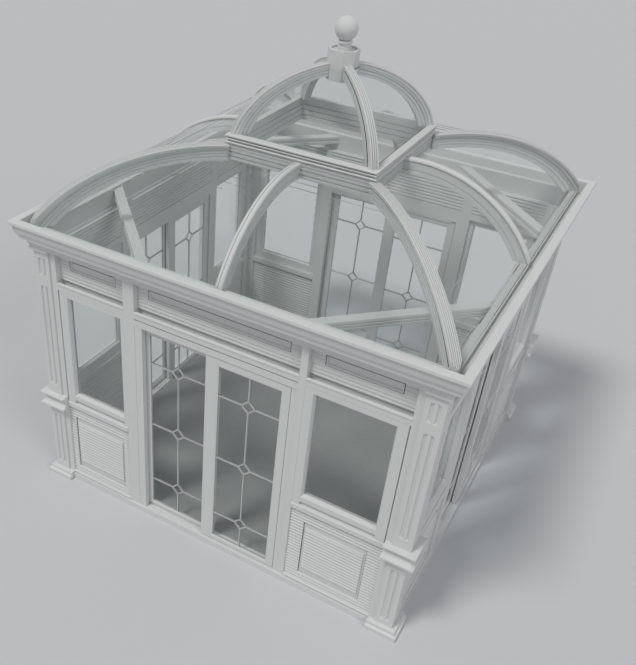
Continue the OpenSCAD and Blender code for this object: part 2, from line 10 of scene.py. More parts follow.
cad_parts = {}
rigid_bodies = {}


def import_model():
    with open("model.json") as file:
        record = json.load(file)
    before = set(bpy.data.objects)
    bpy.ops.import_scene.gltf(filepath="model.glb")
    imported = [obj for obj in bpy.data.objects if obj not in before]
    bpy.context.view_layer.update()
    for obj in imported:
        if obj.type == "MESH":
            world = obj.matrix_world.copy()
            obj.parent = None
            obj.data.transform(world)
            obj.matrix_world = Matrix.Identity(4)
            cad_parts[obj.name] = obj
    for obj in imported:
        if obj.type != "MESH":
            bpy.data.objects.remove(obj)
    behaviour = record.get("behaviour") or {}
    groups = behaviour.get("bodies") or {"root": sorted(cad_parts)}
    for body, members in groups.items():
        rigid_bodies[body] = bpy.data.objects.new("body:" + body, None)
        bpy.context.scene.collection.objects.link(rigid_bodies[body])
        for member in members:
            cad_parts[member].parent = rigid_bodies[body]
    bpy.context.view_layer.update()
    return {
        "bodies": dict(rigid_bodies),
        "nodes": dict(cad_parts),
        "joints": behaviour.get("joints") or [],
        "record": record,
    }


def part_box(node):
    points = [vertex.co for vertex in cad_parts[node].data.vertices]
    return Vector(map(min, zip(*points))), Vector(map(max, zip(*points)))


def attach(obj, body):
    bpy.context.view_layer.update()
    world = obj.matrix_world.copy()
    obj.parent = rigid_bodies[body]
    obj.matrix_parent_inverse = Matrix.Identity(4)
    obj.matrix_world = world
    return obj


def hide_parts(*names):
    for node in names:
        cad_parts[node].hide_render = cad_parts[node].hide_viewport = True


bl_info = {
    "name": "Square Glazed Conservatory",
    "version": (1, 0, 0),
    "blender": (4, 5, 0),
    "location": "3D View > Sidebar > Conservatory",
    "description": "Finishes, leading, glazing beads and studio for the conservatory frame",
    "category": "Object",
}

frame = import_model()

WALLS = ("front", "right", "back", "left")
LEAVES = ("outer", "inner")
GLASS_NODES = ("window_glass", "roof_glass", "lantern_glass")
QUARTER_TURN = math.radians(90)
ROOT2 = math.sqrt(2)
# From the front face to the right face of the front right corner
ACROSS = Matrix(((0, -1, 0, 0), (-1, 0, 0, 0), (0, 0, 1, 0), (0, 0, 0, 1)))

# Sizes of the frame, in metres
WALL_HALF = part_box("door_posts")[1][0]
WALL_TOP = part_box("door_posts")[1][2]
SILL_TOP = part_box("door_posts")[0][2]
BASE_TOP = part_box("dado_panels")[0][2]
DADO_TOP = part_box("dado_panels")[1][2]
DADO_SET = WALL_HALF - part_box("dado_panels")[1][0]
WINDOW_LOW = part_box("window_frames")[0][2]
WINDOW_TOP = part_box("window_frames")[1][2]
GLASS_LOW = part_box("window_glass")[0][2]
GLASS_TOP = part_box("window_glass")[1][2]
FRIEZE_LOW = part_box("frieze_panels")[0][2]
FRIEZE_SET = WALL_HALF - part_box("frieze_panels")[1][0]
COLUMN_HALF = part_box("column_shafts")[1][0]
CORNICE_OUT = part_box("cornice")[1][0]
CORNICE_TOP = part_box("cornice")[1][2]
KERB_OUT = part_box("roof_kerb")[1][0]
KERB_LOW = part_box("roof_kerb")[0][2]
KERB_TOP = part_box("roof_kerb")[1][2]
RING_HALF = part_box("lantern_ring")[1][0]
RING_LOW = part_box("lantern_ring")[0][2]
RING_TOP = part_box("lantern_ring")[1][2]
HUB_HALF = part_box("finial_hub")[1][0]

WALL_T = 0.116
WINDOW_SET = 0.003
WINDOW_T = 0.084
GLASS_SET = 0.044
GLASS_T = 0.020
DADO_T = 0.084
CORNER_X = 1.645
CORNER_STILE = 0.092
# Edge at the doorway, edge at the corner, and width of the door-side stile, of each window bay
BAYS = ((0.795, CORNER_X, 0.070), (-0.925, -CORNER_X, 0.038))
DOOR_BAY = (-0.815, 0.735)
COLUMN_IN = COLUMN_HALF - 0.160
KERB_IN = KERB_OUT - 0.070
RING_SEAT = RING_HALF - 0.020


class CoatSettings(bpy.types.PropertyGroup):
    """Powder coat on the frames, panels and mouldings."""

    colour: bpy.props.FloatVectorProperty(
        name="Coat Colour",
        description="White of the powder coat",
        subtype="COLOR",
        size=3,
        min=0.0,
        max=1.0,
        default=(0.70, 0.705, 0.70),
    )
    shade: bpy.props.FloatProperty(
        name="Cloudiness",
        description="How much the white varies over a metre",
        default=0.05,
        min=0.0,
        max=0.3,
    )
    roughness: bpy.props.FloatProperty(
        name="Roughness",
        description="Mean roughness of the satin coat",
        default=0.42,
        min=0.0,
        max=1.0,
    )
    peel: bpy.props.FloatProperty(
        name="Orange Peel",
        description="Strength of the coat's fine ripple",
        default=0.06,
        min=0.0,
        max=1.0,
    )


class GlassSettings(bpy.types.PropertyGroup):
    """Clear glass of the roof, windows and doors."""

    tint: bpy.props.FloatVectorProperty(
        name="Glass Tint",
        description="Faint grey-green of the clear glass",
        subtype="COLOR",
        size=3,
        min=0.0,
        max=1.0,
        default=(0.955, 0.972, 0.968),
    )
    came: bpy.props.FloatVectorProperty(
        name="Leading Colour",
        description="Pale grey of the leading strips",
        subtype="COLOR",
        size=3,
        min=0.0,
        max=1.0,
        default=(0.62, 0.63, 0.625),
    )
    came_width: bpy.props.FloatProperty(
        name="Leading Width",
        description="Width of a leading strip",
        subtype="DISTANCE",
        unit="LENGTH",
        default=0.012,
        min=0.004,
        max=0.03,
    )
    came_rise: bpy.props.FloatProperty(
        name="Leading Thickness",
        description="How far a strip stands off the glass",
        subtype="DISTANCE",
        unit="LENGTH",
        default=0.004,
        min=0.001,
        max=0.008,
    )
    diamond: bpy.props.FloatProperty(
        name="Diamond Size",
        description="Half of a diamond's width and height",
        subtype="DISTANCE",
        unit="LENGTH",
        default=0.062,
        min=0.02,
        max=0.12,
    )
    end_pane: bpy.props.FloatProperty(
        name="End Pane Height",
        description="Height of the lowest and the highest light of a leaf",
        subtype="DISTANCE",
        unit="LENGTH",
        default=0.308,
        min=0.1,
        max=0.6,
    )


def length(name, description, default, low, high):
    """Length in metres with its range."""
    return bpy.props.FloatProperty(
        name=name, description=description, subtype="DISTANCE", unit="LENGTH", default=default, min=low, max=high
    )


class DadoSettings(bpy.types.PropertyGroup):
    """Reeded and fielded dado panels."""

    field_width: length("Field Width", "Width of the raised field", 0.592, 0.5, 0.64)
    field_rise: length("Field Rise", "Bottom of the field above the base rail", 0.070, 0.05, 0.1)
    field_height: length("Field Height", "Height of the raised field", 0.645, 0.5, 0.68)
    step: length("Step", "Depth of the step round the field", 0.018, 0.006, 0.03)
    groove: length("Groove", "Width of the groove round the field", 0.007, 0.003, 0.012)
    bevel: length("Bevel", "Width of the bevel at the top and bottom of the field", 0.070, 0.03, 0.09)
    side_bevel: length("Side Bevel", "Width of the bevel at the sides of the field", 0.027, 0.015, 0.04)
    pitch: length("Reed Pitch", "Height of one reed", 0.035, 0.015, 0.06)
    reed_sink: length("Reed Groove", "Depth of the groove between two reeds", 0.014, 0.001, 0.016)


class WindowSettings(bpy.types.PropertyGroup):
    """Frames and beads of the windows."""

    gap: length("Shadow Gap", "Height of the shaded slope under the bottom rail", 0.044, 0.01, 0.05)
    gap_depth: length("Gap Depth", "Depth of the slope at its foot", 0.030, 0.01, 0.05)
    groove: length("Corner Groove", "Width of the groove beside the corner", 0.011, 0.004, 0.02)
    bead: length("Bead", "Width of the bead round the glass", 0.018, 0.008, 0.03)


class FriezeSettings(bpy.types.PropertyGroup):
    """Friezes over windows and doors."""

    slot_margin: length("Slot Margin", "Margin beside the long slot", 0.113, 0.09, 0.18)
    slot_rise: length("Slot Rise", "Bottom of the slot above the ledge", 0.130, 0.09, 0.14)
    slot_height: length("Slot Height", "Height of the slot", 0.097, 0.06, 0.12)
    slot_sink: length("Slot Depth", "Depth of the slot", 0.018, 0.006, 0.03)
    slot_bevel: length("Slot Bevel", "Width of the bevel round the slot", 0.014, 0.005, 0.03)
    groove: length("Slot Groove", "Width of the groove round the slot", 0.007, 0.003, 0.012)
    pitch: length("Reed Pitch", "Height of one reed outside", 0.035, 0.015, 0.06)
    reed_sink: length("Reed Groove", "Depth of the groove between two reeds outside", 0.006, 0.0005, 0.01)
    inner_pitch: length("Inner Reed Pitch", "Height of one reed inside", 0.035, 0.015, 0.06)
    inner_sink: length("Inner Reed Groove", "Depth of the groove between two reeds inside", 0.013, 0.001, 0.016)


class FluteSettings(bpy.types.PropertyGroup):
    """Flutes of the corner columns."""

    width: length("Flute Width", "Width over both grooves", 0.084, 0.06, 0.1)
    sink: length("Flute Depth", "Depth of the grooves", 0.014, 0.004, 0.015)
    bead: length("Bead Width", "Width of the round bead between the grooves", 0.040, 0.02, 0.05)
    point: length("Pointed End", "Height of the pointed ends", 0.030, 0.01, 0.06)


class RoofSettings(bpy.types.PropertyGroup):
    """Bars of the roof."""

    flute: length("Flute Depth", "Depth of the grooves along the bars", 0.009, 0.002, 0.012)
    tie_place: length("Tie Place", "Sum of the distances of a tie's two ends", 2.550, 2.4, 2.7)
    tie_width: length("Tie Width", "Width of a corner tie", 0.090, 0.06, 0.12)
    steps: bpy.props.IntProperty(name="Curve Steps", description="Steps along a rafter", default=56, min=16, max=120)


class FloorSettings(bpy.types.PropertyGroup):
    """Screed floor inside."""

    colour: bpy.props.FloatVectorProperty(
        name="Floor Colour",
        description="Mid grey of the floor screed",
        subtype="COLOR",
        size=3,
        min=0.0,
        max=1.0,
        default=(0.33, 0.335, 0.335),
    )
    blotch: bpy.props.FloatProperty(
        name="Blotches",
        description="How much the trowelled floor varies in shade",
        default=0.18,
        min=0.0,
        max=0.6,
    )


class StudioSettings(bpy.types.PropertyGroup):
    """Camera, lamps and backdrop."""

    eye: bpy.props.FloatVectorProperty(
        name="Camera Place",
        description="Where the camera stands",
        subtype="TRANSLATION",
        unit="LENGTH",
        size=3,
        default=(2.7107, -6.3887, 5.9298),
    )
    turn: bpy.props.FloatVectorProperty(
        name="Camera Turn",
        description="Rotation of the camera",
        subtype="EULER",
        unit="ROTATION",
        size=3,
        default=(math.radians(54.0464), math.radians(-2.4281), math.radians(31.2370)),
    )
    lens: bpy.props.FloatProperty(
        name="Lens",
        description="Focal length in millimetres over a 36 mm sensor",
        default=43.84,
        min=20.0,
        max=120.0,
    )
    shift: bpy.props.FloatVectorProperty(
        name="Lens Shift",
        description="Sideways and upward shift, as shares of the long side",
        size=2,
        default=(0.13, 0.05),
    )
    backdrop: bpy.props.FloatVectorProperty(
        name="Backdrop Colour",
        description="Pale grey of the floor and backdrop",
        subtype="COLOR",
        size=3,
        min=0.0,
        max=1.0,
        default=(0.62, 0.63, 0.64),
    )


def settings():
    """The groups of settings on the scene."""
    scene = bpy.context.scene
    return [getattr(scene, name) for cls, name in GROUPS]


def new_group(name, inputs, outputs):
    """Empty shader node group with the given sockets, and its input and output nodes."""
    tree = bpy.data.node_groups.new(name, "ShaderNodeTree")
    for label, kind, value in inputs:
        socket = tree.interface.new_socket(label, in_out="INPUT", socket_type=kind)
        socket.default_value = value
    for label, kind in outputs:
        tree.interface.new_socket(label, in_out="OUTPUT", socket_type=kind)
    return tree, tree.nodes.new("NodeGroupInput"), tree.nodes.new("NodeGroupOutput")


def add_node(tree, kind, **values):
    """New node in a tree, with attributes and input values set by name."""
    node = tree.nodes.new(kind)
    for name, value in values.items():
        if hasattr(node, name):
            setattr(node, name, value)
        else:
            node.inputs[name.replace("_", " ").title()].default_value = value
    return node


def shade_group():
    """Soft light and dark clouds over a colour, from two sizes of noise."""
    found = bpy.data.node_groups.get("Soft Clouding")
    if found:
        return found
    tree, given, out = new_group(
        "Soft Clouding",
        [("Colour", "NodeSocketColor", (0.8, 0.8, 0.8, 1.0)), ("Amount", "NodeSocketFloat", 0.05),
         ("Scale", "NodeSocketFloat", 1.3), ("Roughness", "NodeSocketFloat", 0.45)],
        [("Colour", "NodeSocketColor"), ("Roughness", "NodeSocketFloat")],
    )
    place = add_node(tree, "ShaderNodeTexCoord")
    broad = add_node(tree, "ShaderNodeTexNoise", detail=3.0)
    fine = add_node(tree, "ShaderNodeTexNoise", scale=38.0, detail=4.0)
    tree.links.new(place.outputs["Object"], broad.inputs["Vector"])
    tree.links.new(place.outputs["Object"], fine.inputs["Vector"])
    tree.links.new(given.outputs["Scale"], broad.inputs["Scale"])
    both = add_node(tree, "ShaderNodeMath", operation="ADD")
    tree.links.new(broad.outputs["Fac"], both.inputs[0])
    tree.links.new(fine.outputs["Fac"], both.inputs[1])
    centred = add_node(tree, "ShaderNodeMath", operation="SUBTRACT")
    centred.inputs[1].default_value = 1.0
    tree.links.new(both.outputs[0], centred.inputs[0])
    scaled = add_node(tree, "ShaderNodeMath", operation="MULTIPLY")
    tree.links.new(centred.outputs[0], scaled.inputs[0])
    tree.links.new(given.outputs["Amount"], scaled.inputs[1])
    level = add_node(tree, "ShaderNodeMath", operation="ADD")
    level.inputs[1].default_value = 1.0
    tree.links.new(scaled.outputs[0], level.inputs[0])
    tinted = add_node(tree, "ShaderNodeVectorMath", operation="SCALE")
    tree.links.new(given.outputs["Colour"], tinted.inputs[0])
    tree.links.new(level.outputs[0], tinted.inputs["Scale"])
    rough = add_node(tree, "ShaderNodeMath", operation="MULTIPLY_ADD")
    rough.inputs[1].default_value = 0.12
    tree.links.new(centred.outputs[0], rough.inputs[0])
    tree.links.new(given.outputs["Roughness"], rough.inputs[2])
    tree.links.new(tinted.outputs[0], out.inputs["Colour"])
    tree.links.new(rough.outputs[0], out.inputs["Roughness"])
    return tree


def ripple_group():
    """Height of a fine ripple, such as orange peel in a coat or the grain of a screed."""
    found = bpy.data.node_groups.get("Fine Ripple")
    if found:
        return found
    tree, given, out = new_group(
        "Fine Ripple",
        [("Scale", "NodeSocketFloat", 300.0), ("Grit", "NodeSocketFloat", 0.4)],
        [("Height", "NodeSocketFloat")],
    )
    place = add_node(tree, "ShaderNodeTexCoord")
    noise = add_node(tree, "ShaderNodeTexNoise", detail=2.0)
    cells = add_node(tree, "ShaderNodeTexVoronoi")
    for node in (noise, cells):
        tree.links.new(place.outputs["Object"], node.inputs["Vector"])
        tree.links.new(given.outputs["Scale"], node.inputs["Scale"])
    mixed = add_node(tree, "ShaderNodeMix", data_type="FLOAT")
    tree.links.new(given.outputs["Grit"], mixed.inputs["Factor"])
    tree.links.new(noise.outputs["Fac"], mixed.inputs["A"])
    tree.links.new(cells.outputs["Distance"], mixed.inputs["B"])
    tree.links.new(mixed.outputs["Result"], out.inputs["Height"])
    return tree


def new_material(name):
    """Material with its Principled node."""
    material = bpy.data.materials.new(name)
    material.use_nodes = True
    return material, material.node_tree, material.node_tree.nodes["Principled BSDF"]


def place_group(tree, group, **values):
    """Puts a shader node group in a material and sets its inputs by name."""
    node = tree.nodes.new("ShaderNodeGroup")
    node.node_tree = group
    for name, value in values.items():
        node.inputs[name].default_value = value
    return node


def coated_finish(name, colour, amount, roughness, ripple, ripple_scale, grit):
    """Clouded colour with a fine ripple in it."""
    material, tree, shader = new_material(name)
    clouds = place_group(tree, shade_group(), Colour=(*colour, 1.0), Amount=amount, Roughness=roughness)
    tree.links.new(clouds.outputs["Colour"], shader.inputs["Base Color"])
    tree.links.new(clouds.outputs["Roughness"], shader.inputs["Roughness"])
    peel = place_group(tree, ripple_group(), Scale=ripple_scale, Grit=grit)
    bump = add_node(tree, "ShaderNodeBump", strength=ripple, distance=0.002)
    tree.links.new(peel.outputs["Height"], bump.inputs["Height"])
    tree.links.new(bump.outputs["Normal"], shader.inputs["Normal"])
    return material, shader


def white_coat():
    coat = bpy.context.scene.cons_coat
    return coated_finish("White powder coat", coat.colour, coat.shade, coat.roughness, coat.peel, 260.0, 0.15)[0]


def floor_screed():
    floor = bpy.context.scene.cons_floor
    material, shader = coated_finish("Grey floor screed", floor.colour, floor.blotch, 0.75, 0.35, 90.0, 0.6)
    shader.inputs["Specular IOR Level"].default_value = 0.3
    return material


def leading_metal():
    glass = bpy.context.scene.cons_glass
    material, shader = coated_finish("Pale leading", glass.came, 0.12, 0.48, 0.12, 180.0, 0.3)
    shader.inputs["Metallic"].default_value = 0.35
    return material


def clear_glass():
    """Tinted glass that lets lamp light through to the room."""
    material, tree, shader = new_material("Clear glass")
    glass = bpy.context.scene.cons_glass
    shader.inputs["Base Color"].default_value = (*glass.tint, 1.0)
    shader.inputs["Roughness"].default_value = 0.02
    shader.inputs["IOR"].default_value = 1.22
    shader.inputs["Transmission Weight"].default_value = 1.0
    clear = add_node(tree, "ShaderNodeBsdfTransparent")
    clear.inputs["Color"].default_value = (*glass.tint, 1.0)
    path = add_node(tree, "ShaderNodeLightPath")
    lamp_ray = add_node(tree, "ShaderNodeMath", operation="MAXIMUM")
    tree.links.new(path.outputs["Is Shadow Ray"], lamp_ray.inputs[0])
    tree.links.new(path.outputs["Is Diffuse Ray"], lamp_ray.inputs[1])
    mix = add_node(tree, "ShaderNodeMixShader")
    tree.links.new(lamp_ray.outputs[0], mix.inputs[0])
    tree.links.new(shader.outputs[0], mix.inputs[1])
    tree.links.new(clear.outputs[0], mix.inputs[2])
    tree.links.new(mix.outputs[0], tree.nodes["Material Output"].inputs["Surface"])
    return material


def finish_named(name):
    """The finish of that name, made on its first use."""
    makers = {
        "White powder coat": white_coat,
        "Grey floor screed": floor_screed,
        "Pale leading": leading_metal,
        "Clear glass": clear_glass,
    }
    return bpy.data.materials.get(name) or makers[name]()


def dress(piece, finish):
    """Gives a piece one finish."""
    piece.data.materials.clear()
    piece.data.materials.append(finish_named(finish))


def mesh_piece(name, bm, body, finish):
    """Links a finished mesh as a piece of the part."""
    bmesh.ops.recalc_face_normals(bm, faces=bm.faces)
    mesh = bpy.data.meshes.new(name)
    bm.to_mesh(mesh)
    bm.free()
    piece = bpy.data.objects.new(name, mesh)
    bpy.context.scene.collection.objects.link(piece)
    dress(piece, finish)
    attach(piece, body)
    return piece


def wall_turn(wall):
    """Rotation from the front wall to the named one."""
    return Matrix.Rotation(QUARTER_TURN * WALLS.index(wall), 4, "Z")


def pane_in_front(wall, leaf):
    """Box of a door pane, turned back to the front wall."""
    low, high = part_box(f"{wall}_{leaf}_pane")
    turn = wall_turn(wall).inverted()
    a, b = turn @ low, turn @ high
    return Vector(map(min, a, b)), Vector(map(max, a, b))


def strip(bm, start, end, width, rise, face_y, outward, turn):
    """Leading strip with chamfered edges between two points (x, z) on a glass face."""
    a, b = Vector((start[0], 0.0, start[1])), Vector((end[0], 0.0, end[1]))
    along = (b - a).normalized()
    side = Vector((-along.z, 0.0, along.x)) * width / 2
    lift = Vector((0.0, outward * rise, 0.0))
    base = Vector((0.0, face_y, 0.0))
    rows = []
    for end_point in (a, b):
        outline = [-side, -side * 0.55 + lift, side * 0.55 + lift, side]
        rows.append([bm.verts.new(turn @ (base + end_point + corner)) for corner in outline])
    for i in range(4):
        j = (i + 1) % 4
        bm.faces.new((rows[0][i], rows[0][j], rows[1][j], rows[1][i]))
    bm.faces.new(rows[0])
    bm.faces.new(list(reversed(rows[1])))


def leading_lines(low, high, glass):
    """Ends of every strip of a leaf as (x, z) pairs: centre line, cross lines and diamonds."""
    mid = (low.x + high.x) / 2
    reach = glass.diamond
    bottom, top = low.z + glass.end_pane, high.z - glass.end_pane
    rows = [bottom, (bottom + top) / 2, top]
    lines = []
    upright = [low.z] + [z for row in rows for z in (row - reach, row + reach)] + [high.z]
    lines += [((mid, upright[i]), (mid, upright[i + 1])) for i in range(0, len(upright), 2)]
    for row in rows:
        lines += [((low.x, row), (mid - reach, row)), ((mid + reach, row), (high.x, row))]
        corners = [(mid - reach, row), (mid, row + reach), (mid + reach, row), (mid, row - reach)]
        lines += [(corners[i], corners[(i + 1) % 4]) for i in range(4)]
    return lines


def skin(bm, rows, closed=False):
    """Joins rows of corners into a bar with capped ends, or into a closed ring."""
    count = len(rows[0])
    joined = rows + [rows[0]] if closed else rows
    for near, far in zip(joined, joined[1:]):
        for i in range(count):
            j = (i + 1) % count
            bm.faces.new((near[i], near[j], far[j], far[i]))
    if not closed:
        bm.faces.new(rows[0])
        bm.faces.new(list(reversed(rows[-1])))


def wall_bar(bm, x0, x1, outline, turn=Matrix.Identity(4)):
    """Bar along a wall with the given outline of set-backs and heights."""
    rows = [
        [bm.verts.new(turn @ Vector((x, depth - WALL_HALF, z))) for depth, z in outline]
        for x in sorted((x0, x1))
    ]
    skin(bm, rows)


def wall_block(bm, x0, x1, near, far, z0, z1, turn=Matrix.Identity(4), edge=0.002):
    """Straight block in a wall with slightly eased front edges."""
    wall_bar(bm, x0, x1, [(near + edge, z0), (far, z0), (far, z1), (near + edge, z1), (near, z1 - edge),
                          (near, z0 + edge)], turn)


def square_ring(bm, outline):
    """Mitred moulding round the house, from distances out and heights."""
    rows = []
    for corner in range(4):
        turn = Matrix.Rotation(QUARTER_TURN * corner, 4, "Z")
        rows.append([bm.verts.new(turn @ Vector((out, -out, z))) for out, z in outline])
    skin(bm, rows, closed=True)


def pane_bead(bm, x0, x1, z0, z1, outline, turn):
    """Mitred bead round a pane's edge, from distances inward and depths."""
    rows = []
    for x, z, right, up in ((x0, z0, 1, 1), (x1, z0, -1, 1), (x1, z1, -1, -1), (x0, z1, 1, -1)):
        rows.append([bm.verts.new(turn @ Vector((x + right * inward, y, z + up * inward))) for inward, y in outline])
    skin(bm, rows, closed=True)


def mirrored(half):
    """Closed section from its right half, which runs from the bottom to the top."""
    return half + [(-t, r) for t, r in reversed(half) if t > 1e-6]


def half_round(out, low, high, proud, steps=6):
    """Points of a round bead on a face, from its lower to its upper edge."""
    middle, reach = (low + high) / 2, (high - low) / 2
    angles = [math.radians(180 * i / steps - 90) for i in range(steps + 1)]
    return [(out + proud * math.cos(a), middle + reach * math.sin(a)) for a in angles]


def arc_through(head, foot, bulge):
    """Centre and radius of the arc between two points (distance, height) with the given bulge."""
    chord = Vector(foot) - Vector(head)
    radius = (chord.length_squared / 4 + bulge * bulge) / (2 * bulge)
    offset = Vector((chord.y, -chord.x)).normalized() * (radius - bulge)
    return (Vector(head) + Vector(foot)) / 2 + offset, radius


def arc_angles(centre, radius, head, foot, steps):
    """Angles from the foot to the head of an arc, passing both by a little."""
    low, high = (math.atan2(point[1] - centre.y, point[0] - centre.x) for point in (foot, head))
    margin = 0.12 / radius
    return [low - margin + (high - low + 2 * margin) * i / steps for i in range(steps + 1)]


SLOPE_HEAD = (RING_SEAT, RING_LOW + 0.135)
SLOPE_FOOT = (KERB_OUT + 0.025, KERB_TOP)
SLOPE_CENTRE, SLOPE_R = arc_through(SLOPE_HEAD, SLOPE_FOOT, 0.2145)
DOME_HEAD = (HUB_HALF / ROOT2, 4.085)
DOME_FOOT = (RING_HALF - 0.039, RING_TOP)
DOME_CENTRE, DOME_R = arc_through(DOME_HEAD, DOME_FOOT, 0.1184)


def swept_bar(section, angles, centre, diagonal):
    """Curved bar, straight over a wall's middle or along the diagonal of a corner."""
    bm = bmesh.new()
    rows = []
    for angle in angles:
        row = []
        for t, r in section:
            out, z = centre.x + r * math.cos(angle), centre.y + r * math.sin(angle)
            spot = Vector((out + t / ROOT2, t / ROOT2 - out, z)) if diagonal else Vector((t, -out, z))
            row.append(bm.verts.new(spot))
        rows.append(row)
    skin(bm, rows)
    bmesh.ops.recalc_face_normals(bm, faces=bm.faces)
    return bm


def cut_off(bm, point, outward):
    """Cuts away what lies outside a plane and closes the cut."""
    everything = bm.verts[:] + bm.edges[:] + bm.faces[:]
    cut = bmesh.ops.bisect_plane(bm, geom=everything, plane_co=point, plane_no=outward, clear_outer=True)
    edges = [item for item in cut["geom_cut"] if isinstance(item, bmesh.types.BMEdge)]
    if edges:
        bmesh.ops.holes_fill(bm, edges=edges, sides=0)


def on_four_sides(bm, part):
    """Copies a finished part to all four sides of the house and lets go of it."""
    mesh = bpy.data.meshes.new("one_side")
    part.to_mesh(mesh)
    part.free()
    for corner in range(4):
        copy = mesh.copy()
        copy.transform(Matrix.Rotation(QUARTER_TURN * corner, 4, "Z"))
        bm.from_mesh(copy)
        bpy.data.meshes.remove(copy)
    bpy.data.meshes.remove(mesh)


def reeds(face, low, high, pitch, sink, step):
    """Points of a reeded face from low to high; step is its outward sign in depth."""
    points = []
    first = math.floor((low - BASE_TOP) / pitch)
    last = math.ceil((high - BASE_TOP) / pitch)
    for number in range(first, last):
        for share in (0.0, 0.07, 0.2, 0.5, 0.8, 0.93):
            z = BASE_TOP + (number + share) * pitch
            if low < z < high:
                points.append((face + step * sink * abs(2 * share - 1) ** 3, z))
    edge = face + step * sink * 0.5
    return [(edge, low)] + points + [(edge, high)]


def reeded_bar(bm, x0, x1, low, high, face, back, pitch, sink, turn):
    """Board whose face towards the given set-back is reeded, with a flat back."""
    step = 1 if back > face else -1
    wall_bar(bm, x0, x1, reeds(face, low, high, pitch, sink, step) + [(back, high), (back, low)], turn)


def fielded_panel(bm, x0, x1, dado, turn):
    """Reeded dado panel with a sunk step round a raised, bevelled and reeded field."""
    left, right = sorted((x0, x1))
    middle, half = (left + right) / 2, dado.field_width / 2
    f0, f1 = middle - half, middle + half
    z0 = BASE_TOP + dado.field_rise
    z1 = z0 + dado.field_height
    front, floor, core = DADO_SET, DADO_SET + dado.step, DADO_SET + DADO_T - 0.02
    pitch, sink = dado.pitch, dado.reed_sink
    for a, b, low, high in ((left, f0, BASE_TOP, DADO_TOP), (f1, right, BASE_TOP, DADO_TOP),
                            (f0, f1, BASE_TOP, z0), (f0, f1, z1, DADO_TOP)):
        reeded_bar(bm, a, b, low, high, front, core, pitch, sink, turn)
    reeded_bar(bm, left, right, BASE_TOP, DADO_TOP, DADO_SET + DADO_T, core - 0.002, pitch, sink, turn)
    side, rise, gap = dado.side_bevel, dado.bevel, dado.groove
    outer = [(f0 + gap, z0 + gap), (f1 - gap, z0 + gap), (f1 - gap, z1 - gap), (f0 + gap, z1 - gap)]
    wall_block(bm, f0, f1, floor + 0.014, core, z0, z1, turn)
    inner = [(f0 + side, z0 + rise), (f1 - side, z0 + rise), (f1 - side, z1 - rise), (f0 + side, z1 - rise)]
    rows = []
    for corners, depth in ((outer, core), (outer, floor), (inner, front + sink)):
        rows.append([bm.verts.new(turn @ Vector((x, depth - WALL_HALF, z))) for x, z in corners])
    skin(bm, rows)
    reeded_bar(bm, f0 + side, f1 - side, z0 + rise, z1 - rise, front, floor, pitch, sink, turn)


def slotted_frieze(bm, x0, x1, frieze, turn):
    """Finely reeded frieze board with one long slot, bevelled all round, and reeds inside the house."""
    left, right = sorted((x0, x1))
    s0, s1 = left + frieze.slot_margin, right - frieze.slot_margin
    z0 = FRIEZE_LOW + frieze.slot_rise
    z1 = z0 + frieze.slot_height
    face, core = FRIEZE_SET, WALL_T - 0.02
    pitch, sink = frieze.pitch, frieze.reed_sink
    start = FRIEZE_LOW + 0.014
    for a, b, low, high in ((left, s0, start, WALL_TOP), (s1, right, start, WALL_TOP),
                            (s0, s1, start, z0), (s0, s1, z1, WALL_TOP)):
        reeded_bar(bm, a, b, low, high, face, core, pitch, sink, turn)
    reeded_bar(bm, left, right, FRIEZE_LOW, WALL_TOP, WALL_T, core - 0.002, frieze.inner_pitch,
               frieze.inner_sink, turn)
    floor, lip, groove = face + frieze.slot_sink, frieze.slot_bevel, frieze.groove
    wall_block(bm, s0, s1, floor + 0.016, core, z0, z1, turn)
    wall_block(bm, s0 + groove, s1 - groove, floor, floor + 0.018, z0 + groove, z1 - groove, turn)
    flat, sunk = face + 0.003 - WALL_HALF, floor - WALL_HALF
    frame = [(groove, sunk + 0.01), (groove, flat), (groove + 0.003, flat - 0.002), (groove + lip * 0.5, flat),
             (groove + lip, sunk), (groove + lip, sunk + 0.01)]
    pane_bead(bm, s0, s1, z0, z1, frame, turn)
    wall_block(bm, left, right, face + 0.026, core, FRIEZE_LOW, start + 0.01, turn)


def column_front(bm, z0, z1, low, high, flute, end, turn):
    """One outer face of a column with two grooves and a round bead between them, from low to high."""
    face = WALL_HALF - COLUMN_HALF
    middle = (COLUMN_IN + COLUMN_HALF) / 2
    half, deep, bead = flute.width / 2, flute.sink, flute.bead / 2
    wall_block(bm, COLUMN_IN, middle - half, face, 0.0, z0, z1, turn)
    wall_block(bm, middle + half, end, face, 0.0, z0, z1, turn, edge=0.0005)
    wall_block(bm, middle - half, middle + half, face, 0.0, z0, low, turn, edge=0.0005)
    wall_block(bm, middle - half, middle + half, face, 0.0, high, z1, turn, edge=0.0005)
    side = [(half - 0.002, 0.3), (half - 0.006, 0.9), (bead + 0.004, 1.0), (bead, 1.0)]
    side += [(bead * math.cos(a), 1.0 - 0.92 * math.sin(a)) for a in (math.radians(18 * i) for i in range(1, 5))]
    section = [(-x, share) for x, share in side] + [(0.0, 0.08)] + list(reversed(side))
    ends = [(0.0, 0.02), (0.12, 0.4), (0.35, 0.75), (0.7, 0.95), (1.0, 1.0)]
    heights = [(low + flute.point * share, size) for share, size in ends]
    heights += [(high - flute.point * share, size) for share, size in reversed(ends)]
    rows = []
    for z, size in heights:
        row = [(-half, 0.0)] + [(x * size, deep * share * size) for x, share in section] + [(half, 0.0)]
        row = [(middle + x, face + sunk) for x, sunk in row] + [(middle + half, 0.002), (middle - half, 0.002)]
        rows.append([bm.verts.new(turn @ Vector((x, depth - WALL_HALF, z))) for x, depth in row])
    skin(bm, rows)


